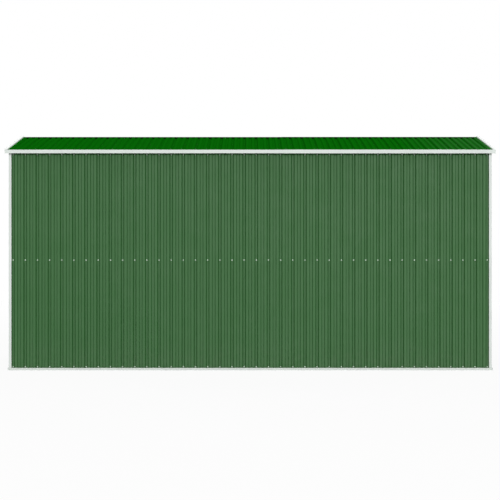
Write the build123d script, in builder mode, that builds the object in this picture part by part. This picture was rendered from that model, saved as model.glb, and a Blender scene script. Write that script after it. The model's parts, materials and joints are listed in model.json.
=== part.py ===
from build123d import *
import os
from math import atan2, cos, hypot, sin, tan

# A metal storage shed: ribbed steel sheets on a light frame of folded steel, under a gable roof.
# +Z is up, X runs along the ridge, and the origin is the middle of the footprint at ground level.
# The door end is +X. Left and right are as seen when facing the door, so the left wall is at -Y.
# All sizes are in millimetres.

# Overall sizes
wall_length = 4340  # over the corner posts
wall_width = 1830  # over the corner posts
eave_height = 1975  # roof sheet's flats at the eave's edge
roof_rise = 189.5  # from there to the ridge
eave_overhang = 45
verge_overhang = 30

# Clearances
seat_gap = 0.1  # between pieces that bear on each other
mitre_gap = 0.2
cut_overrun = 50  # stock that is cut away again at a mitre

# Ribbed sheet: deep grooves with a shallower stiffening crease midway between them
sheet = 0.6
groove_top = 33
groove_bottom = 15
groove_depth = 14
crease_top = 33
crease_bottom = 21
crease_depth = 9
lap_lip = 5  # flat left past the crease where two sheets lap

# Layout of the sheets
first_groove = 37.5  # from the corner of the walls to the middle of the first groove
side_grooves = 40
end_grooves = 17
side_sheets = 5
rear_seams = (5.5, 10.5)  # in grooves, counted from the rear wall's first

# Base rails: upright channels that the sheets stand in
base_sheet = 1.2
base_out = 8  # outer lip beyond the wall's plane
base_lip = 21
base_flange = 45

# Corner posts
post_sheet = 1
post_leg = 24

# Frame inside the walls
rail_sheet = 1.2
mid_rail_share = 0.502  # of the height of the side walls
mid_rail_web = 60
mid_rail_flange = 25
wall_head_gap = 6  # from the top of the side walls to the underside of the roof
plate_web = 60
plate_flange = 35

# End walls
gable_seam_drop = 88  # from the top of the side walls to that of the end sheets, under the gable
gable_lap = 20
head_below_seam = 30
head_above_seam = 45
head_flange = 32

# Roof frame
ridge_beam_flange = 45
ridge_beam_leg = 30
ridge_seal_width = 5  # strip between the roof sheets' top ends, under the ridge cap
purlin_place_share = 0.5  # of the way from the ridge to the eave
purlin_web = 35
purlin_flange = 28
tie_web = 35
tie_flange = 30
tie_below_plate_top = 12
strut_leg = 22

# Roof covering
ridge_start = 6  # from the apex to the top end of the roof sheets
cap_sheet = 0.8
cap_flange = 28
verge_sheet = 1
verge_flange = 25
verge_rise = 10  # top of the trim over the roof's flats
verge_face = 30  # its outer face below them
eave_sheet = 1
eave_flange = 10
eave_face = 30
eave_return = 12
trim_joint = 340  # where the two lengths of eave trim and of ridge cap lap
trim_lap = 40

# Doorway and sliding door leaves
door_opening = 816
jamb_sheet = 1
jamb_leg = 28
head_trim_sheet = 1
head_trim_face = 28
leaf_thickness = 22
leaf_overlap = 20  # how far each leaf reaches past its jamb
leaf_meeting_gap = 2
leaf_frame_sheet = 1
leaf_frame_width = 36
leaf_play = 1.5  # beside the leaf, in its track and guide
leaf_head_play = 6
leaf_grooves = 3
track_leg = 40
guide_leg = 14

# Door handles
handle_share = 0.5  # of the height of the side walls
handle_length = 150
handle_width = 24
handle_plate = 3
handle_grip_length = 110
handle_grip_width = 9
handle_grip_reach = 9
handle_grip_end_share = 0.8  # of the grip's length left at its outer edge

# Levels and planes that follow from those sizes
groove_size = (groove_top, groove_bottom, groove_depth)
crease_size = (crease_top, crease_bottom, crease_depth)
lift = sheet + seat_gap  # a lapping sheet stands this far outside the one below it
face_in = post_sheet + seat_gap + 2 * lift  # flats of a lowest sheet, in from the wall's plane
rail_in = face_in + groove_depth + sheet + seat_gap  # outer face of the rails, likewise
foot = base_sheet + seat_gap
half_length = wall_length / 2
half_width = wall_width / 2
roof_half_length = half_length + verge_overhang
roof_half_width = half_width + eave_overhang
ridge_height = eave_height + roof_rise
slope = atan2(roof_rise, roof_half_width)
roof_seat = groove_depth + sheet + seat_gap  # what carries the roof lies this far under its flats
side_pitch = (wall_length - 2 * first_groove) / (side_grooves - 1)
end_pitch = (wall_width - 2 * first_groove) / (end_grooves - 1)
sheet_cover = side_grooves / side_sheets  # grooves to a sheet
sheet_end = crease_top / 2 + lap_lip  # how far a sheet runs past the seam where it laps
inner_half_length = half_length - rail_in
inner_half_width = half_width - rail_in


def roof_point(along, above):
    """(y, z) on the left slope: along it from the apex, and above its flats."""
    y = -along * cos(slope) - above * sin(slope)
    z = ridge_height - along * sin(slope) + above * cos(slope)
    return (y, z)


def roof_along(y, above):
    """How far along the left slope the point at that y lies, at that height above the flats."""
    return (-y - above * sin(slope)) / cos(slope)


def roof_height(y, above):
    """z on the left slope at that y, and above its flats."""
    return roof_point(roof_along(y, above), above)[1]


wall_top = roof_height(-half_width, -roof_seat) - wall_head_gap
gable_seam = wall_top - gable_seam_drop
mid_rail_height = wall_top * mid_rail_share
handle_height = wall_top * handle_share


# Folded sections
def offset_line(points, distance):
    """The line moved sideways to its left by the distance, with its corners mitred."""
    normals = []
    for (x0, y0), (x1, y1) in zip(points, points[1:]):
        run = hypot(x1 - x0, y1 - y0)
        normals.append(((y0 - y1) / run, (x1 - x0) / run))
    befores = normals[:1] + normals
    afters = normals + normals[-1:]
    moved = []
    for (x, y), (ax, ay), (bx, by) in zip(points, befores, afters):
        reach = distance / (1 + ax * bx + ay * by)
        moved.append((x + (ax + bx) * reach, y + (ay + by) * reach))
    return moved


def draw_folded(points, thickness):
    """Draws in the current sketch a sheet folded along the points, its thickness to their left."""
    with BuildLine() as outline:
        Polyline(*points, *reversed(offset_line(points, thickness)), close=True)
    make_face(outline.edges())


def folded_bar(plane, points, thickness, length):
    """A bar of folded sheet: its section on the plane, extruded by the length."""
    with BuildPart() as bar:
        with BuildSketch(plane):
            draw_folded(points, thickness)
        extrude(amount=length)
    return bar.part


def both_sides(part, about=Plane.XZ):
    """The part and its mirror image, as two solids."""
    with BuildPart() as pair:
        add(part)
        mirror(part, about=about)
    return pair.part


def other_side(part, about=Plane.XZ):
    with BuildPart() as image:
        mirror(part, about=about)
    return image.part


def group(parts):
    """Several like pieces that don't touch, kept together in one node."""
    with BuildPart() as grouped:
        for part in parts:
            add(part)
    return grouped.part


def keep(part, name):
    part.label = name
    export_step(part, f"parts/{name}.step")


# Ribbed sheets
def groove(centre, top, bottom, depth):
    half_top = top / 2
    half_bottom = bottom / 2
    return [
        (centre - half_top, 0),
        (centre - half_bottom, -depth),
        (centre + half_bottom, -depth),
        (centre + half_top, 0),
    ]


def ribbed_line(start, stop, origin, pitch):
    """Outer face of a ribbed sheet from start to stop, its grooves a pitch apart from the origin."""
    points = [(start, 0)]
    step = int((start - origin) / (pitch / 2)) - 1
    while origin + step * pitch / 2 < stop:
        centre = origin + step * pitch / 2
        size = crease_size if step % 2 else groove_size
        if start < centre - size[0] / 2 and centre + size[0] / 2 < stop:
            points += groove(centre, *size)
        step += 1
    return points + [(stop, 0)]


def ribbed_sheet(plane, line, raised, length):
    """A sheet with the line as its outer face on the plane, raised outwards, and extruded by the length."""
    return folded_bar(plane, offset_line(line, raised), -sheet, length)


def side_run(edge):
    """A side's sheets, each as its ribbed line and its raise, out to that edge, and their seams."""
    origin = first_groove - half_length
    seams = [origin + (sheet_cover * n - 1 / 2) * side_pitch for n in range(1, side_sheets)]
    starts = [-edge] + [seam - sheet_end for seam in seams]
    stops = [seam + sheet_end for seam in seams] + [edge]
    lines = [ribbed_line(start, stop, origin, side_pitch) for start, stop in zip(starts, stops)]
    return [(line, lift * (n % 2)) for n, line in enumerate(lines)], seams


def wall_plane(x, y, z, along):
    """Plane for a wall's section at its top: x runs along the wall, y outwards, and it faces down."""
    return Plane(origin=(x, y, z), x_dir=along, z_dir=(0, 0, -1))


def roof_plane(along, above):
    """Plane across the left slope: x runs along the ridge, y out of the roof, and it faces downhill."""
    y, z = roof_point(along, above)
    return Plane(origin=(0, y, z), x_dir=(1, 0, 0), z_dir=(0, -cos(slope), -sin(slope)))


# Base frame
def base_rail(half_run, half_across):
    """A channel along X at -Y, mitred at both ends."""
    corner_x = half_run + base_out
    corner_y = -half_across - base_out
    inner = rail_in - half_across + base_sheet
    with BuildPart() as rail:
        with BuildSketch(Plane.YZ.offset(-corner_x - cut_overrun)):
            draw_folded([(corner_y, base_lip), (corner_y, 0), (inner, 0), (inner, base_flange)], base_sheet)
        extrude(amount=2 * (corner_x + cut_overrun))
        for end in (-1, 1):
            outwards = Vector(end, 1, 0).normalized()
            corner = Vector(end * corner_x, corner_y, 0)
            mitre = Plane(origin=corner - outwards * mitre_gap / 2, z_dir=outwards)
            split(bisect_by=mitre, keep=Keep.BOTTOM)
    return rail.part


def make_base():
    left = base_rail(half_length, half_width)
    keep(left, "base_rail_left")
    keep(other_side(left), "base_rail_right")
    end = base_rail(half_width, half_length)
    for name, turn in (("base_rail_front", 90), ("base_rail_rear", -90)):
        with BuildPart() as rail:
            add(end, rotation=(0, 0, turn))
        keep(rail.part, name)


# Corner posts
def make_posts():
    corner = [
        (-half_length, post_leg - half_width),
        (-half_length, -half_width),
        (post_leg - half_length, -half_width),
    ]
    rear_left = folded_bar(Plane.XY.offset(foot), corner, post_sheet, wall_top - foot)
    front_left = other_side(rear_left, Plane.YZ)
    keep(rear_left, "corner_post_rear_left")
    keep(front_left, "corner_post_front_left")
    keep(other_side(rear_left), "corner_post_rear_right")
    keep(other_side(front_left), "corner_post_front_right")


# Side walls
def make_side_walls():
    plane = wall_plane(0, face_in - half_width, wall_top, (1, 0, 0))
    run, _ = side_run(half_length - post_sheet - seat_gap)
    left = group([ribbed_sheet(plane, line, raised, wall_top - foot) for line, raised in run])
    keep(left, "left_wall")
    keep(other_side(left), "right_wall")


# End walls
end_edge = half_width - face_in - sheet - seat_gap
end_origin = first_groove - half_width


def end_plane(end, z):
    """Plane for an end wall's section: end is 1 at the door and -1 at the rear."""
    return wall_plane(end * (half_length - face_in), 0, z, (0, end, 0))


def gable(end):
    """The sheet over the end wall, cut to the slope of the roof."""
    bottom = gable_seam - gable_lap
    line = ribbed_line(-end_edge, end_edge, end_origin, end_pitch)
    top = roof_height(0, -sheet - seat_gap)
    with BuildPart() as piece:
        with BuildSketch(end_plane(end, top)):
            draw_folded(offset_line(line, 2 * lift), -sheet)
        extrude(amount=top - bottom)
        for side in (-1, 1):
            under_roof = Plane(origin=(0, 0, top), z_dir=(0, side * sin(slope), cos(slope)))
            split(bisect_by=under_roof, keep=Keep.BOTTOM)
    return piece.part


def make_end_walls():
    height = gable_seam - foot
    jamb_edge = door_opening / 2 + jamb_sheet + seat_gap
    line = ribbed_line(-end_edge, -jamb_edge, end_origin, end_pitch)
    left = ribbed_sheet(end_plane(1, gable_seam), line, 0, height)
    keep(left, "front_panel_left")
    keep(other_side(left), "front_panel_right")

    seams = [end_origin + seam * end_pitch for seam in rear_seams]
    starts = [-end_edge] + [seam - sheet_end for seam in seams]
    stops = [seam + sheet_end for seam in seams] + [end_edge]
    sheets = []
    for n, (start, stop) in enumerate(zip(starts, stops)):
        line = ribbed_line(start, stop, end_origin, end_pitch)
        sheets.append(ribbed_sheet(end_plane(-1, gable_seam), line, lift * (n % 2), height))
    keep(group(sheets), "rear_wall")

    keep(gable(1), "front_gable")
    keep(gable(-1), "rear_gable")


# Rails inside the walls
def make_rails():
    plane = Plane.YZ.offset(-inner_half_length)
    web = -inner_half_width

    plate_top = roof_height(web, -roof_seat)
    flange_end = roof_point(roof_along(web, -roof_seat) - plate_flange, -roof_seat)
    plate_line = [(web, plate_top - plate_web), (web, plate_top), flange_end]
    plate = folded_bar(plane, plate_line, -rail_sheet, 2 * inner_half_length)
    keep(plate, "top_rail_left")
    keep(other_side(plate), "top_rail_right")

    def mid_rail(outer, half_run):
        top = mid_rail_height + mid_rail_web / 2
        bottom = mid_rail_height - mid_rail_web / 2
        flange = outer + mid_rail_flange
        line = [(flange, bottom), (outer, bottom), (outer, top), (flange, top)]
        return folded_bar(Plane.YZ.offset(-half_run), line, -rail_sheet, 2 * half_run)

    side = mid_rail(web, inner_half_length)
    rear_half_run = inner_half_width - mid_rail_flange - seat_gap
    with BuildPart() as rear:
        add(mid_rail(-inner_half_length, rear_half_run), rotation=(0, 0, -90))
    keep(group([side, other_side(side), rear.part]), "mid_rails")

    head_top = gable_seam + head_above_seam
    head_bottom = gable_seam - head_below_seam
    outer = -inner_half_length
    head_line = [(outer, head_bottom), (outer, head_top), (outer + head_flange, head_top)]
    half_run = inner_half_width - rail_sheet - seat_gap
    head = folded_bar(Plane.YZ.offset(-half_run), head_line, -rail_sheet, 2 * half_run)
    for name, turn in (("top_rail_front", 90), ("top_rail_rear", -90)):
        with BuildPart() as rail:
            add(head, rotation=(0, 0, turn))
        keep(rail.part, name)


# Roof frame
def make_roof_frame():
    run = 2 * inner_half_length
    plane = Plane.YZ.offset(-inner_half_length)

    left_y, left_z = roof_point(ridge_beam_flange, -roof_seat)
    apex = (0, roof_height(0, -roof_seat))
    beam_line = [(left_y, left_z - ridge_beam_leg), (left_y, left_z), apex]
    beam_line += [(-y, z) for y, z in reversed(beam_line[:2])]
    keep(folded_bar(plane, beam_line, -rail_sheet, run), "ridge_beam")

    seal_foot = apex[1] + seat_gap
    seal_height = ridge_height - seal_foot
    with BuildPart() as seal:
        with Locations((0, 0, seal_foot)):
            Box(run, ridge_seal_width, seal_height, align=(Align.CENTER, Align.CENTER, Align.MIN))
    keep(seal.part, "ridge_seal")

    place = roof_along(-roof_half_width, 0) * purlin_place_share
    half_flange = purlin_flange / 2
    purlin_line = [
        roof_point(place + half_flange, -roof_seat - purlin_web),
        roof_point(place - half_flange, -roof_seat - purlin_web),
        roof_point(place - half_flange, -roof_seat),
        roof_point(place + half_flange, -roof_seat),
    ]
    keep(both_sides(folded_bar(plane, purlin_line, rail_sheet, run)), "purlins")

    tie_top = roof_height(-inner_half_width, -roof_seat) - tie_below_plate_top
    half_tie = inner_half_width - rail_sheet - seat_gap
    strut_foot = tie_top + seat_gap
    purlin_y, purlin_bottom = purlin_line[0]
    purlin_head = purlin_bottom - seat_gap
    beam_head = apex[1] - (rail_sheet + seat_gap) / cos(slope) - strut_leg / 2 * tan(slope)

    def strut(x, y, head):
        corner = [(x + strut_leg, y), (x, y), (x, y + strut_leg)]
        return folded_bar(Plane.XY.offset(strut_foot), corner, -rail_sheet, head - strut_foot)

    ties = []
    struts = []
    _, seams = side_run(roof_half_length)
    for x in seams:
        tie_line = [(x, tie_top - tie_web), (x, tie_top), (x + tie_flange, tie_top)]
        ties.append(folded_bar(Plane.XZ.offset(-half_tie), tie_line, -rail_sheet, 2 * half_tie))
        struts.append(strut(x, -strut_leg / 2, beam_head))
        side = strut(x, purlin_y, purlin_head)
        struts += [side, other_side(side)]
    keep(group(ties), "roof_ties")
    keep(group(struts), "roof_struts")


# Roof covering
def make_roof_covering():
    fascia = roof_half_width - lift - eave_sheet - seat_gap
    sheet_length = roof_along(-fascia, lift) - ridge_start
    run, _ = side_run(roof_half_length - verge_sheet - seat_gap)
    plane = roof_plane(ridge_start, 0)
    left = group([ribbed_sheet(plane, line, raised, sheet_length) for line, raised in run])
    keep(left, "roof_left")
    keep(other_side(left), "roof_right")

    trim_bed = lift + seat_gap
    cap_end = roof_half_length - verge_flange - seat_gap
    cap_edge = roof_point(cap_flange, trim_bed)
    cap_line = [cap_edge, (0, roof_height(0, trim_bed)), (-cap_edge[0], cap_edge[1])]
    lengths = ((-cap_end, trim_joint, 0), (trim_joint - trim_lap, cap_end, cap_sheet + seat_gap))
    caps = []
    for start, stop, raised in lengths:
        line = offset_line(cap_line, raised)
        caps.append(folded_bar(Plane.YZ.offset(start), line, cap_sheet, stop - start))
    keep(group(caps), "ridge_cap")

    edge_y = lift - roof_half_width
    edge = roof_along(edge_y, trim_bed + eave_sheet)
    corner = roof_point(edge, trim_bed + eave_sheet)
    face_bottom = corner[1] - eave_face
    eave_line = [
        roof_point(edge - eave_flange, trim_bed + eave_sheet),
        corner,
        (edge_y, face_bottom),
        (edge_y + eave_return, face_bottom),
    ]
    eave_end = roof_half_length - verge_sheet - seat_gap
    lengths = ((-eave_end, trim_joint, 0), (trim_joint - trim_lap, eave_end, eave_sheet + seat_gap))
    trims = []
    for start, stop, raised in lengths:
        line = offset_line(eave_line, -raised)
        trims.append(folded_bar(Plane.YZ.offset(start), line, eave_sheet, stop - start))
    eave = group(trims)
    keep(eave, "eave_trim_left")
    keep(other_side(eave), "eave_trim_right")

    outer = roof_half_length
    inner = outer - verge_flange
    verge_line = [(outer, -verge_face), (outer, verge_rise), (inner, verge_rise), (inner, seat_gap)]
    lip_stop = edge - eave_flange - seat_gap
    verge_end = roof_along(edge_y, verge_rise)
    end_foot = trim_bed + 2 * (eave_sheet + seat_gap)
    with BuildPart() as verge:
        with BuildSketch(roof_plane(-cut_overrun, 0)):
            draw_folded(verge_line, verge_sheet)
        extrude(amount=lip_stop + cut_overrun)
        with BuildSketch(roof_plane(lip_stop, 0)):
            draw_folded(verge_line[:3], verge_sheet)
        extrude(amount=verge_end - lip_stop)
        with BuildSketch(roof_plane(verge_end - verge_sheet, 0)):
            draw_folded([(outer, verge_rise), (inner, verge_rise)], verge_rise - end_foot)
        extrude(amount=verge_sheet)
        split(bisect_by=Plane.XZ.offset(mitre_gap / 2), keep=Keep.TOP)
    front = both_sides(verge.part)
    keep(front, "verge_trims_front")
    keep(other_side(front, Plane.YZ), "verge_trims_rear")


# Doorway and door leaves
track_in = rail_in + rail_sheet + seat_gap  # outer face of the track and guide, in from the wall's plane
leaf_in = track_in + rail_sheet + leaf_play
track_depth = leaf_thickness + 2 * (leaf_play + rail_sheet)
head_trim_bottom = gable_seam - gable_lap - seat_gap - head_trim_sheet
track_top = gable_seam + head_above_seam - rail_sheet - seat_gap
leaf_bottom = foot
leaf_top = track_top - rail_sheet - leaf_head_play
leaf_inner_edge = leaf_meeting_gap / 2
leaf_outer_edge = door_opening / 2 + leaf_overlap


def leaf_box(margin, inset, mode):
    """The left leaf's outline shrunk by the margin on each edge and by the inset on each face."""
    width = leaf_outer_edge - leaf_inner_edge - 2 * margin
    height = leaf_top - leaf_bottom - 2 * margin
    Box(leaf_thickness - 2 * inset, width, height, mode=mode)


def make_doorway():
    outer = half_length - face_in + seat_gap + jamb_sheet
    inner = half_length - rail_in + seat_gap
    edge = -door_opening / 2
    line = [(outer, edge - jamb_leg), (outer, edge), (inner, edge)]
    jamb = folded_bar(Plane.XY.offset(foot), line, -jamb_sheet, head_trim_bottom - seat_gap - foot)
    keep(both_sides(jamb), "door_jambs")

    face = half_length - face_in + 2 * lift + seat_gap
    half_face = door_opening / 2 + jamb_leg
    half_sill = door_opening / 2 - seat_gap
    with BuildPart() as head_trim:
        with Locations((face, 0, head_trim_bottom)):
            Box(head_trim_sheet, 2 * half_face, head_trim_face, align=(Align.MIN, Align.CENTER, Align.MIN))
        with Locations((face, 0, head_trim_bottom)):
            Box(face - inner, 2 * half_sill, head_trim_sheet, align=(Align.MAX, Align.CENTER, Align.MIN))
    keep(head_trim.part, "door_head_trim")

    near = half_length - track_in
    far = near - track_depth
    half_run = inner_half_width - rail_sheet - seat_gap
    across = Plane.XZ.offset(-half_run)
    track_bottom = track_top - track_leg
    track_line = [(near, track_bottom), (near, track_top), (far, track_top), (far, track_bottom)]
    keep(folded_bar(across, track_line, rail_sheet, 2 * half_run), "door_track")
    guide_line = [(near, guide_leg), (near, 0), (far, 0), (far, guide_leg)]
    keep(folded_bar(across, guide_line, -rail_sheet, 2 * half_run), "door_guide")


def make_leaves():
    centre = (
        half_length - leaf_in - leaf_thickness / 2,
        -(leaf_inner_edge + leaf_outer_edge) / 2,
        (leaf_bottom + leaf_top) / 2,
    )
    with BuildPart() as frame:
        with Locations(centre):
            leaf_box(0, 0, Mode.ADD)
            leaf_box(leaf_frame_width, 0, Mode.SUBTRACT)
            leaf_box(leaf_frame_sheet, leaf_frame_sheet, Mode.SUBTRACT)
    keep(frame.part, "door_frame_left")
    keep(other_side(frame.part), "door_frame_right")

    margin = leaf_frame_sheet + seat_gap
    start = -leaf_outer_edge + margin
    stop = -leaf_inner_edge - margin
    pitch = (stop - start) / leaf_grooves
    top = leaf_top - margin
    plane = wall_plane(half_length - leaf_in - margin, 0, top, (0, 1, 0))
    line = ribbed_line(start, stop, start + pitch / 2, pitch)
    leaf = ribbed_sheet(plane, line, 0, top - leaf_bottom - margin)
    keep(leaf, "door_sheet_left")
    keep(other_side(leaf), "door_sheet_right")


def make_handles():
    face = half_length - leaf_in + seat_gap
    y = -leaf_inner_edge - leaf_frame_width / 2
    grip_base = face + handle_plate
    half_grip = handle_grip_length / 2
    half_end = half_grip * handle_grip_end_share
    with BuildPart() as handle:
        with BuildSketch(Plane(origin=(face, y, handle_height), x_dir=(0, 0, 1), z_dir=(1, 0, 0))):
            SlotOverall(handle_length, handle_width)
        extrude(amount=handle_plate)
        with BuildSketch(Plane(origin=(0, y, handle_height), x_dir=(1, 0, 0), z_dir=(0, -1, 0))):
            with BuildLine():
                Polyline(
                    (grip_base, -half_grip),
                    (grip_base + handle_grip_reach, -half_end),
                    (grip_base + handle_grip_reach, half_end),
                    (grip_base, half_grip),
                    close=True,
                )
            make_face()
        extrude(amount=handle_grip_width / 2, both=True)
    keep(both_sides(handle.part), "door_handles")


os.makedirs("parts", exist_ok=True)
make_base()
make_posts()
make_side_walls()
make_end_walls()
make_rails()
make_roof_frame()
make_roof_covering()
make_doorway()
make_leaves()
make_handles()
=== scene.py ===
import json
import math

import bpy
import bmesh
from mathutils import Matrix, Vector


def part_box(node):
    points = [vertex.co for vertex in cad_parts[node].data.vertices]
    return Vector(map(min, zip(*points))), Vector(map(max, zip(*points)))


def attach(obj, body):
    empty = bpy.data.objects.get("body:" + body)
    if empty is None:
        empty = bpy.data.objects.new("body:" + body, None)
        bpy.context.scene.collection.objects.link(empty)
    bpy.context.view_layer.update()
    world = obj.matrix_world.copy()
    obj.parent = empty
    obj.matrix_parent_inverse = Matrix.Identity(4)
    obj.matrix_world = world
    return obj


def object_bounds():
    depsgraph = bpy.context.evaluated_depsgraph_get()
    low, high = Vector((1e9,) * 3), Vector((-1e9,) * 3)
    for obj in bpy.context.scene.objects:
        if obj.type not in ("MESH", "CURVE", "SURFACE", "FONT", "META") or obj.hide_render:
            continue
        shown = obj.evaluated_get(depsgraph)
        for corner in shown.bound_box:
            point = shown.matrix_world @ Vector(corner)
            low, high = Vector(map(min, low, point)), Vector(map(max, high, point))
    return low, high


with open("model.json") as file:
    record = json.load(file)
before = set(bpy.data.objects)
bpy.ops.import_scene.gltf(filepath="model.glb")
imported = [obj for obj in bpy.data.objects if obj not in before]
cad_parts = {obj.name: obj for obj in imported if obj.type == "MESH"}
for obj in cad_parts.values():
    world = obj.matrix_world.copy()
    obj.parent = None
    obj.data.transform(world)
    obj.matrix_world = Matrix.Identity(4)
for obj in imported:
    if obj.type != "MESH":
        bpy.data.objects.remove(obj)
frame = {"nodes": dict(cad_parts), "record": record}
cad_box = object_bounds()
nodes = frame["nodes"]
record = frame["record"]

# Ribbed sheets, in metres
SHEET = 0.0006
LIFT = 0.0007  # how far a lapping sheet stands outside its neighbours
FIRST_GROOVE = 0.0375  # from the corner of the walls to the middle of the first groove
SIDE_GROOVES = 40
END_GROOVES = 17
SHEET_GROOVES = 8  # grooves to a sheet on the side walls and the roof
REAR_SEAMS = (5.5, 10.5)  # laps of the rear wall, in grooves from its first

# Sizes and levels read from the frame
rear_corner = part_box("corner_post_rear_left")[0]
front_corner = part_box("corner_post_front_right")[1]
WALL_LENGTH = front_corner.x - rear_corner.x
WALL_WIDTH = front_corner.y - rear_corner.y
SIDE_PITCH = (WALL_LENGTH - 2 * FIRST_GROOVE) / (SIDE_GROOVES - 1)
END_PITCH = (WALL_WIDTH - 2 * FIRST_GROOVE) / (END_GROOVES - 1)

wall_low, wall_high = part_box("left_wall")
GROOVE_DEPTH = wall_high.y - wall_low.y - SHEET - LIFT
SIDE_FLOOR = SHEET - wall_high.y  # from the middle of the shed to the floors of the grooves
END_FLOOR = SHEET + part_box("front_panel_left")[0].x

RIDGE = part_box("ridge_seal")[1].z
FLAT_LEAN = 0.01  # the flats of the roof lean less than this along the ridge
roof_flats = [face for face in nodes["roof_left"].data.polygons if abs(face.normal.x) < FLAT_LEAN]
roof_normal = max(roof_flats, key=lambda face: face.area).normal
SLOPE = math.atan2(abs(roof_normal.y), abs(roof_normal.z))

# Rows of screws, each over the rail that holds it
FOOT_INSET = 0.0155  # down from the top of the base rail
MID_RISE = 0.0036  # up from the middle of the mid rails
TOP_RISE = 0.0252  # up from the foot of the top rails
PURLIN_INSET = 0.0137  # in from the outer edge of the purlins
FOOT_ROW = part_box("base_rail_left")[1].z - FOOT_INSET
MID_ROW = (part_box("mid_rails")[0].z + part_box("mid_rails")[1].z) / 2 + MID_RISE
TOP_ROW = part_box("top_rail_left")[0].z + TOP_RISE
GABLE_ROW = (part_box("front_gable")[0].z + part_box("front_panel_left")[1].z) / 2
PURLIN_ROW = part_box("purlins")[1].y - PURLIN_INSET
PLATE_ROW = (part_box("top_rail_right")[0].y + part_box("top_rail_right")[1].y) / 2
DOOR_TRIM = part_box("door_head_trim")[1].y


# Shader nodes
class Tree:
    """A material's node tree, with short calls to add and join nodes."""

    def __init__(self, name):
        self.material = bpy.data.materials.new(name)
        self.material.use_nodes = True
        self.tree = self.material.node_tree
        self.tree.nodes.clear()
        self.output = self.add("ShaderNodeOutputMaterial")
        self.position = self.add("ShaderNodeTexCoord").outputs["Object"]
        self.x, self.y, self.z = self.add("ShaderNodeSeparateXYZ", {0: self.position}).outputs

    def add(self, kind, inputs=None, **settings):
        node = self.tree.nodes.new(kind)
        for key, value in settings.items():
            setattr(node, key, value)
        for key, value in (inputs or {}).items():
            self.set(node.inputs[key], value)
        return node

    def set(self, socket, value):
        if isinstance(value, bpy.types.NodeSocket):
            self.tree.links.new(value, socket)
        else:
            socket.default_value = value

    def math(self, operation, a, b=0.0):
        return self.add("ShaderNodeMath", {0: a, 1: b}, operation=operation).outputs[0]

    def scaled(self, scale):
        return self.add("ShaderNodeMapping", {"Vector": self.position, "Scale": scale}).outputs[0]

    def noise(self, scale, detail, roughness=0.55, vector=None):
        node = self.add("ShaderNodeTexNoise", {"Scale": scale, "Detail": detail, "Roughness": roughness})
        self.set(node.inputs["Vector"], vector or self.position)
        return node.outputs["Fac"]

    def span(self, value, low, high, out_low=0.0, out_high=1.0):
        """The value mapped from one range to another, held at its ends."""
        node = self.add("ShaderNodeMapRange", {1: low, 2: high, 3: out_low, 4: out_high})
        self.set(node.inputs[0], value)
        return node.outputs[0]

    def patches(self, scale, detail, low, high, roughness=0.55, vector=None):
        """Noise cut to patches: 0 up to the low level and 1 from the high one."""
        return self.span(self.noise(scale, detail, roughness, vector), low, high)

    def varied(self, value, least, spread):
        """The value, which runs from 0 to 1, as a variation above the least."""
        return self.math("ADD", self.math("MULTIPLY", value, spread), least)

    def mix(self, factor, a, b):
        node = self.add("ShaderNodeMix", data_type="RGBA")
        self.set(node.inputs[0], factor)
        for socket, value in ((node.inputs[6], a), (node.inputs[7], b)):
            self.set(socket, value if isinstance(value, bpy.types.NodeSocket) else (*value, 1.0))
        return node.outputs[2]

    def tint(self, base, colour, mask, strength):
        """The base moved towards the colour, where the mask says and as far as the strength says."""
        return self.mix(self.math("MULTIPLY", mask, strength), base, colour)

    def splash(self, base, dirt, low, high, speckle, strength):
        """Dirt splashed up from the ground, thinning out between the low and the high level."""
        foot = self.span(self.z, low, high, out_low=1.0, out_high=0.0)
        return self.tint(base, dirt, self.math("MULTIPLY", foot, speckle), strength)

    def bump(self, height, strength, distance, normal=None):
        node = self.add("ShaderNodeBump", {"Height": height, "Strength": strength, "Distance": distance})
        if normal:
            self.set(node.inputs["Normal"], normal)
        return node.outputs["Normal"]

    def finish(self, **inputs):
        shader = self.add("ShaderNodeBsdfPrincipled")
        for key, value in inputs.items():
            self.set(shader.inputs[key.replace("_", " ")], value)
        self.tree.links.new(shader.outputs[0], self.output.inputs[0])
        return self.material


# Painted sheet
WALL_GREEN = (0.021, 0.102, 0.021)
WALL_FADED = (0.026, 0.110, 0.025)
WALL_GRIME = (0.16, 0.17, 0.13)
WALL_RUNS = (34.0, 34.0, 0.7)  # runs to a metre along X, Y and Z
WALL_GLOSS = 0.35
GRIME_LOW = 0.03  # heights between which the grime thins out
GRIME_HIGH = 0.30

ROOF_GREEN = (0.0015, 0.104, 0.0015)
ROOF_FADED = (0.003, 0.111, 0.003)
ROOF_PALER_TONE = (0.002, 0.121, 0.002)
# painted light: a lighter green in the roof's grooves, which lifts the shade that falls in them
ROOF_GROOVE_PAINTED_LIGHT = (0.002, 0.127, 0.002)
# painted reflection: the whitish sheen on the crests at the door end of the roof
ROOF_PAINTED_REFLECTION = (0.0165, 0.128, 0.0165)
ROOF_RUNS = (34.0, 0.7, 0.7)
ROOF_GLOSS = 0.0
PALING = 0.7  # share of the paler tone that the paint takes on along the roof, towards the door end
REFLECTION_END = cad_box[1][0]  # the door end of the roof
REFLECTION_START = REFLECTION_END - 0.70
REFLECTION_WANDER = 0.25
GROOVE_LIGHT_START = 0.001  # how far under the flats the painted light in a groove begins


def foot_grime(tree, base):
    """Dirt splashed up the foot of the walls."""
    speckle = tree.patches(scale=26.0, detail=5.0, low=0.35, high=0.75)
    return tree.splash(base, WALL_GRIME, GRIME_LOW, GRIME_HIGH, speckle, strength=0.12)


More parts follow.
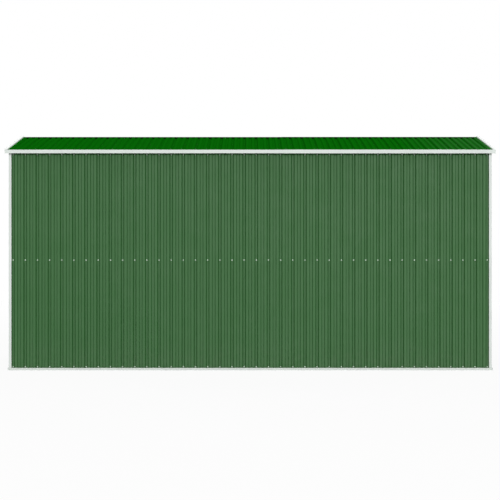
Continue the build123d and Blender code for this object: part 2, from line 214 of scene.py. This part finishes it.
def roof_tone_and_painted_light(tree, base):
    """Paint that pales along the roof towards the door end, with a painted reflection on the crests at the
    door end and painted light in the grooves before it, against the shade that falls in them.
    """
    fall = tree.math("MULTIPLY", tree.math("ABSOLUTE", tree.y), math.tan(SLOPE))
    under_flats = tree.math("SUBTRACT", RIDGE, tree.math("ADD", tree.z, fall))
    in_grooves = tree.span(under_flats, GROOVE_LIGHT_START, GROOVE_DEPTH)
    wander = tree.math("MULTIPLY", tree.noise(scale=3.0, detail=3.0), REFLECTION_WANDER)
    door_end = tree.span(tree.math("ADD", tree.x, wander), REFLECTION_START, REFLECTION_END)
    length = tree.span(tree.x, rear_corner.x, front_corner.x, out_low=0.0, out_high=PALING)
    paled = tree.mix(length, base, ROOF_PALER_TONE)
    # painted light in the grooves, against their shade, away from the door end
    groove_light = tree.math("MULTIPLY", in_grooves, tree.math("SUBTRACT", 1.0, door_end))
    # painted reflection on the crests at the door end
    painted_reflection = tree.math("MULTIPLY", door_end, tree.math("SUBTRACT", 1.0, in_grooves))
    return tree.mix(painted_reflection, tree.mix(groove_light, paled, ROOF_GROOVE_PAINTED_LIGHT), ROOF_PAINTED_REFLECTION)


def painted_sheet(name, colour, faded, run_scale, gloss, weather):
    """Coil-coated ribbed sheet: drift of tone, faint runs, a dust film, orange peel and slack flats."""
    tree = Tree(name)
    drift = tree.patches(scale=0.9, detail=3.0, low=0.3, high=0.7)
    drawn_out = tree.scaled(run_scale)
    runs = tree.patches(scale=1.0, detail=4.0, low=0.42, high=0.75, roughness=0.6, vector=drawn_out)
    film = tree.patches(scale=150.0, detail=5.0, low=0.40, high=0.75, roughness=0.65)
    base = tree.tint(colour, faded, drift, strength=0.35)
    base = tree.tint(base, faded, runs, strength=0.45)
    base = tree.tint(base, faded, film, strength=0.40)
    # for the walls, grime at the foot; for the roof, a paler tone towards the door end, painted light in
    # the grooves and a painted reflection on the crests
    base = weather(tree, base)
    roughness = tree.varied(tree.noise(scale=7.0, detail=4.0), least=0.47, spread=0.16)
    slack = tree.bump(tree.noise(scale=2.2, detail=2.0), strength=0.25, distance=0.004)
    peel = tree.bump(tree.noise(scale=420.0, detail=2.0), strength=0.14, distance=0.0004, normal=slack)
    return tree.finish(Base_Color=base, Roughness=roughness, Specular_IOR_Level=gloss, Normal=peel)


# Enamel of the trims
TRIM_WHITE = (0.645, 0.695, 0.66)
TRIM_SHADE = (0.55, 0.595, 0.565)
# The verge trims' enamel, lighter than the other trims': painted light, for the light that falls on their
# tops
VERGE_PAINTED_LIGHT = (0.79, 0.82, 0.80)
VERGE_PAINTED_LIGHT_PATCH = (0.70, 0.73, 0.71)
TRIM_DIRT = (0.34, 0.33, 0.29)
TRIM_DIRT_HIGH = 0.12  # height at which the dirt has thinned out
TRIM_GLOSS = 0.3


def trim_paint(name, colour, shade):
    """Off-white enamel on folded trims, with a little dirt along its foot and in patches."""
    tree = Tree(name)
    patch = tree.patches(scale=3.5, detail=5.0, low=0.38, high=0.72)
    film = tree.patches(scale=90.0, detail=4.0, low=0.45, high=0.8)
    speckle = tree.patches(scale=40.0, detail=5.0, low=0.45, high=0.75)
    base = tree.tint(colour, shade, patch, strength=0.45)
    base = tree.tint(base, shade, film, strength=0.25)
    base = tree.splash(base, TRIM_DIRT, 0.0, TRIM_DIRT_HIGH, speckle, strength=0.22)
    roughness = tree.varied(tree.noise(scale=12.0, detail=4.0), least=0.36, spread=0.15)
    peel = tree.bump(tree.noise(scale=500.0, detail=2.0), strength=0.05, distance=0.0004)
    return tree.finish(Base_Color=base, Roughness=roughness, Specular_IOR_Level=TRIM_GLOSS, Normal=peel)


# Steel of the frame inside
STEEL_DARK = (0.42, 0.44, 0.45)
STEEL_PALE = (0.60, 0.62, 0.63)
STEEL_BLOOM = (0.68, 0.69, 0.68)
SPANGLES = 95.0  # to a metre


def galvanised(name):
    """Bare galvanised steel with its spangle and a little white bloom."""
    tree = Tree(name)
    spangle = tree.add("ShaderNodeTexVoronoi", {"Vector": tree.position, "Scale": SPANGLES}, feature="F1")
    grain = tree.add("ShaderNodeSeparateColor", {0: spangle.outputs["Color"]}).outputs[0]
    bloom = tree.patches(scale=9.0, detail=5.0, low=0.55, high=0.8)
    base = tree.mix(grain, STEEL_DARK, STEEL_PALE)
    base = tree.tint(base, STEEL_BLOOM, bloom, strength=0.4)
    roughness = tree.varied(grain, least=0.34, spread=0.18)
    return tree.finish(Base_Color=base, Metallic=0.85, Roughness=roughness)


# Plastic of the handles
HANDLE_BLACK = (0.012, 0.012, 0.013)
HANDLE_WORN = (0.022, 0.022, 0.024)


def moulded(name):
    """Moulded plastic with a fine grain, polished a little where hands rub it."""
    tree = Tree(name)
    rubbed = tree.patches(scale=30.0, detail=3.0, low=0.4, high=0.7)
    base = tree.tint(HANDLE_BLACK, HANDLE_WORN, rubbed, strength=0.5)
    roughness = tree.span(rubbed, low=0.0, high=1.0, out_low=0.55, out_high=0.38)
    grain = tree.bump(tree.noise(scale=1500.0, detail=2.0), strength=0.15, distance=0.0003)
    return tree.finish(Base_Color=base, Roughness=roughness, Normal=grain)


# Foam of the ridge seal, near-black: the foam's own colour and painted shade in the notches under the ridge
# cap
SEAL_BLACK_AND_SHADE = (0.007, 0.009, 0.008)
SEAL_DUSTY = (0.020, 0.022, 0.020)


def foam(name):
    """Foam rubber: open pores and a pale dusting."""
    tree = Tree(name)
    dust = tree.patches(scale=18.0, detail=4.0, low=0.45, high=0.75)
    base = tree.tint(SEAL_BLACK_AND_SHADE, SEAL_DUSTY, dust, strength=0.5)
    pores = tree.bump(tree.noise(scale=700.0, detail=3.0), strength=0.4, distance=0.0006)
    return tree.finish(Base_Color=base, Roughness=0.9, Specular_IOR_Level=0.1, Normal=pores)


# Finish of the screws, with sizes as shares of the washer's radius
CROSS_REACH = 0.36  # from the middle to the end of an arm of the drive's cross
CROSS_HALF_WIDTH = 0.09
HEAD_SHARE = 0.68  # just outside the side of the head
CROSS_PAINTED_SHADE = (0.004, 0.006, 0.004)


def screw_paint(name, washer, head, dull, gloss):
    """A screw's head on its washer, with the drive's cross drawn from the screw's own flat map and painted
    near-black as painted shade in its recess.
    """
    tree = Tree(name)
    flat = tree.add("ShaderNodeUVMap", uv_map="screw").outputs[0]
    across, along, _ = tree.add("ShaderNodeSeparateXYZ", {0: flat}).outputs

    def arm(side, length):
        narrow = tree.math("LESS_THAN", tree.math("ABSOLUTE", side), CROSS_HALF_WIDTH)
        reach = tree.math("LESS_THAN", tree.math("ABSOLUTE", length), CROSS_REACH)
        return tree.math("MULTIPLY", narrow, reach)

    cross = tree.math("MAXIMUM", arm(across, along), arm(along, across))
    radius = tree.add("ShaderNodeVectorMath", {0: flat}, operation="LENGTH").outputs["Value"]
    weather = tree.patches(scale=260.0, detail=4.0, low=0.45, high=0.75)
    base = tree.mix(tree.math("LESS_THAN", radius, HEAD_SHARE), washer, head)
    base = tree.tint(base, dull, weather, strength=0.35)
    # painted shade in the recess of the drive's cross
    base = tree.mix(cross, base, CROSS_PAINTED_SHADE)
    dip = tree.bump(tree.math("SUBTRACT", 1.0, cross), strength=0.6, distance=0.0006)
    return tree.finish(Base_Color=base, Roughness=0.42, Specular_IOR_Level=gloss, Normal=dip)


# Materials of the nodes, by the record's slots
materials = {
    "wall_green": painted_sheet("wall_green", WALL_GREEN, WALL_FADED, WALL_RUNS, WALL_GLOSS, foot_grime),
    "roof_green": painted_sheet("roof_green", ROOF_GREEN, ROOF_FADED, ROOF_RUNS, ROOF_GLOSS, roof_tone_and_painted_light),
    "trim_white": trim_paint("trim_white", TRIM_WHITE, TRIM_SHADE),
    "frame_steel": galvanised("frame_steel"),
    "handle_black": moulded("handle_black"),
    "seal_black": foam("seal_black"),
}
for entry in record["subparts"]:
    mesh = nodes[entry["node"]].data
    mesh.materials.clear()
    mesh.materials.append(materials[entry["material_slot"]])

# The verge trims get the lighter copy of the trim enamel: painted light
verge_white = trim_paint("verge_white", VERGE_PAINTED_LIGHT, VERGE_PAINTED_LIGHT_PATCH)
for label in ("front", "rear"):
    nodes[f"verge_trims_{label}"].data.materials[0] = verge_white

pale_screw = screw_paint(
    "pale_screw",
    washer=(0.60, 0.74, 0.60),
    head=(0.64, 0.77, 0.64),
    dull=(0.38, 0.48, 0.38),
    gloss=0.4,
)
green_screw = screw_paint(
    "green_screw",
    washer=(0.0015, 0.085, 0.0015),
    head=(0.0015, 0.095, 0.0015),
    dull=(0.003, 0.07, 0.003),
    gloss=0.02,
)

# Screws, each with its washer: radius and height of each ring from the washer's foot to the top
SCREW_SEGMENTS = 14
SCREW_PROFILE = (
    (0.0061, 0.0),
    (0.0061, 0.0007),
    (0.0055, 0.0012),
    (0.0041, 0.0013),
    (0.0041, 0.0024),
    (0.0034, 0.0033),
    (0.0018, 0.0038),
)
SCREW_RADIUS = SCREW_PROFILE[0][0]
SCREW_TURN = math.pi * (3 - math.sqrt(5))  # from one screw to the next, so that no two crosses line up


def add_screw(bm, uv, place, turn):
    """One screw turned about its axis, its foot at the origin of its place and its head along Z."""
    rings = []
    for radius, height in SCREW_PROFILE:
        ring = []
        for step in range(SCREW_SEGMENTS):
            angle = turn + 2 * math.pi * step / SCREW_SEGMENTS
            across = Vector((radius * math.cos(angle), radius * math.sin(angle)))
            vertex = bm.verts.new(place @ Vector((*across, height)))
            ring.append((vertex, across / SCREW_RADIUS))
        rings.append(ring)
    faces = []
    for lower, upper in zip(rings, rings[1:]):
        for step in range(SCREW_SEGMENTS):
            after = (step + 1) % SCREW_SEGMENTS
            faces.append((lower[step], lower[after], upper[after], upper[step]))
    faces.append(rings[-1])
    faces.append(rings[0][::-1])
    unturned = Matrix.Rotation(-turn, 2)
    for corners in faces:
        face = bm.faces.new([vertex for vertex, _ in corners])
        face.smooth = len(corners) == 4
        for loop, (_, flat) in zip(face.loops, corners):
            loop[uv].uv = unturned @ flat


def place_on(point, normal, up):
    """A matrix with its origin at the point, its Z along the normal and its Y towards up."""
    z = Vector(normal).normalized()
    x = Vector(up).cross(z).normalized()
    y = z.cross(x)
    return Matrix.Translation(point) @ Matrix((x, y, z)).transposed().to_4x4()


def screws(name, spots, material):
    """One piece with a screw at each spot, which is a point, the way out and the way up."""
    bm = bmesh.new()
    uv = bm.loops.layers.uv.new("screw")
    for count, (point, normal, up) in enumerate(spots):
        add_screw(bm, uv, place_on(point, normal, up), (count * SCREW_TURN) % (2 * math.pi))
    mesh = bpy.data.meshes.new(name)
    bm.to_mesh(mesh)
    bm.free()
    mesh.materials.append(material)
    piece = bpy.data.objects.new(name, mesh)
    bpy.context.scene.collection.objects.link(piece)
    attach(piece, "root")


def side_groove_x(groove):
    return FIRST_GROOVE - WALL_LENGTH / 2 + groove * SIDE_PITCH


def side_lift(groove):
    """How far the sheet with that groove stands outside the lowest ones."""
    return LIFT * ((groove // SHEET_GROOVES) % 2)


def end_groove_y(groove):
    return FIRST_GROOVE - WALL_WIDTH / 2 + groove * END_PITCH


# Screws of the side walls; the photograph shows two of them missing
UP = (0, 0, 1)
MISSING_AT_TOP = 23
MISSING_AT_FOOT = 31
MISSING = {("left", MISSING_AT_TOP, TOP_ROW), ("left", MISSING_AT_FOOT, FOOT_ROW)}
for side, label in ((-1, "left"), (1, "right")):
    spots = []
    for groove in range(SIDE_GROOVES):
        y = side * (SIDE_FLOOR + side_lift(groove))
        for z in (FOOT_ROW, MID_ROW, TOP_ROW):
            if (label, groove, z) not in MISSING:
                spots.append(((side_groove_x(groove), y, z), (0, side, 0), UP))
    screws(f"screws_{label}_wall", spots, pale_screw)

# Screws of the end walls, where the gables lap two sheets deep and the doorway is left clear
spots = []
for groove in range(END_GROOVES):
    lift = LIFT if REAR_SEAMS[0] < groove < REAR_SEAMS[1] else 0.0
    for z, out in ((FOOT_ROW, lift), (MID_ROW, lift), (GABLE_ROW, 2 * LIFT)):
        spots.append(((-END_FLOOR - out, end_groove_y(groove), z), (-1, 0, 0), UP))
screws("screws_rear_wall", spots, pale_screw)

spots = []
for groove in range(END_GROOVES):
    y = end_groove_y(groove)
    if abs(y) > DOOR_TRIM + SCREW_RADIUS:
        for z, out in ((FOOT_ROW, 0.0), (GABLE_ROW, 2 * LIFT)):
            spots.append(((END_FLOOR + out, y, z), (1, 0, 0), UP))
screws("screws_front_wall", spots, pale_screw)


# Screws of the roof
def on_roof(x, y, above):
    """A point of the roof at that x and y, and above its flats."""
    return (x, y, RIDGE - abs(y) * math.tan(SLOPE) + above / math.cos(SLOPE))


for side, label in ((-1, "left"), (1, "right")):
    normal = (0, side * math.sin(SLOPE), math.cos(SLOPE))
    uphill = (0, -side * math.cos(SLOPE), math.sin(SLOPE))
    spots = []
    for groove in range(SIDE_GROOVES):
        for row in (PURLIN_ROW, PLATE_ROW):
            point = on_roof(side_groove_x(groove), side * row, side_lift(groove) - GROOVE_DEPTH)
            spots.append((point, normal, uphill))
    screws(f"screws_roof_{label}", spots, green_screw)


# Floor and backdrop, which are plain white to the camera and in reflections
FLOOR_REACH = 60.0
FLOOR_DROP = 0.0005
FLOOR_WHITE_SHARE = 0.93  # the rest of the floor's brightness takes the object's shadow
FADE_START = 4.0  # from the middle of the floor, where it begins to fade into the backdrop
FADE_END = 16.0
PAPER_DARK = (0.54, 0.54, 0.54)
PAPER_PALE = (0.58, 0.58, 0.58)
AMBIENT = 0.36
WHITE = (1.0, 1.0, 1.0, 1.0)


def seen_directly(tree):
    """1 for camera, glossy and transmission rays, and 0 for the light that falls on the object."""
    path = tree.nodes.new("ShaderNodeLightPath")
    value = path.outputs["Is Camera Ray"]
    for key in ("Is Glossy Ray", "Is Transmission Ray"):
        node = tree.nodes.new("ShaderNodeMath")
        node.operation = "MAXIMUM"
        tree.links.new(value, node.inputs[0])
        tree.links.new(path.outputs[key], node.inputs[1])
        value = node.outputs[0]
    return value


def floor_paper():
    """Matte paper with a faint mottle, which fades into the white of the backdrop far out."""
    tree = Tree("floor_paper")
    mottle = tree.patches(scale=0.6, detail=3.0, low=0.3, high=0.7)
    matte = tree.add("ShaderNodeBsdfDiffuse", {"Color": tree.mix(mottle, PAPER_DARK, PAPER_PALE)})
    glow = tree.add("ShaderNodeEmission", {"Color": WHITE, "Strength": 1.0})
    distance = tree.add("ShaderNodeVectorMath", {0: tree.position}, operation="LENGTH").outputs["Value"]
    white = tree.span(distance, FADE_START, FADE_END, out_low=FLOOR_WHITE_SHARE, out_high=1.0)
    share = tree.math("MULTIPLY", seen_directly(tree.tree), white)
    blend = tree.add("ShaderNodeMixShader", {0: share, 1: matte.outputs[0], 2: glow.outputs[0]})
    tree.set(tree.output.inputs[0], blend.outputs[0])
    return tree.material


floor_corners = [(x * FLOOR_REACH, y * FLOOR_REACH, 0) for x, y in ((-1, -1), (1, -1), (1, 1), (-1, 1))]
floor_mesh = bpy.data.meshes.new("floor")
floor_mesh.from_pydata(floor_corners, [], [(0, 1, 2, 3)])
floor_mesh.materials.append(floor_paper())
floor = bpy.data.objects.new("floor", floor_mesh)
bpy.context.scene.collection.objects.link(floor)
floor.location.z = -FLOOR_DROP

world = bpy.data.worlds.new("studio")
bpy.context.scene.world = world
world.use_nodes = True
sky = world.node_tree
sky.nodes.clear()
blend = sky.nodes.new("ShaderNodeMixShader")
sky.links.new(seen_directly(sky), blend.inputs[0])
for socket, strength in ((1, AMBIENT), (2, 1.0)):
    background = sky.nodes.new("ShaderNodeBackground")
    background.inputs["Color"].default_value = WHITE
    background.inputs["Strength"].default_value = strength
    sky.links.new(background.outputs[0], blend.inputs[socket])
output = sky.nodes.new("ShaderNodeOutputWorld")
sky.links.new(blend.outputs[0], output.inputs[0])


# Lamps
def sun(name, azimuth, elevation, energy, spread):
    """A soft lamp, its azimuth in degrees to the right of the camera, as the camera sees it."""
    lamp = bpy.data.lights.new(name, "SUN")
    lamp.energy = energy
    lamp.angle = math.radians(spread)
    piece = bpy.data.objects.new(name, lamp)
    bpy.context.scene.collection.objects.link(piece)
    turn = math.radians(azimuth)
    rise = math.radians(elevation)
    towards = Vector((math.sin(turn) * math.cos(rise), -math.cos(turn) * math.cos(rise), math.sin(rise)))
    piece.rotation_mode = "QUATERNION"
    piece.rotation_quaternion = towards.to_track_quat("Z", "Y")


sun("key", azimuth=6.0, elevation=14.0, energy=1.78, spread=12.0)
sun("overhead", azimuth=10.0, elevation=83.0, energy=0.82, spread=24.0)
sun("side_right", azimuth=93.0, elevation=18.0, energy=0.5, spread=20.0)
sun("side_left", azimuth=-93.0, elevation=18.0, energy=0.5, spread=20.0)
sun("back_right", azimuth=140.0, elevation=35.0, energy=0.72, spread=25.0)
sun("back_left", azimuth=-140.0, elevation=35.0, energy=0.48, spread=25.0)

# Camera, level and square to the long wall as in the photograph
CAMERA_AT = (-0.002, -14.020, 1.080)
LENS = 105.0
SENSOR = 36.0
camera_data = bpy.data.cameras.new("camera")
camera_data.sensor_fit = "HORIZONTAL"
camera_data.sensor_width = SENSOR
camera_data.lens = LENS
camera_data.clip_end = 2 * FLOOR_REACH
camera = bpy.data.objects.new("camera", camera_data)
bpy.context.scene.collection.objects.link(camera)
camera.location = CAMERA_AT
camera.rotation_euler = (math.radians(90.0), 0.0, 0.0)
bpy.context.scene.camera = camera

bpy.context.scene.view_settings.view_transform = "Standard"
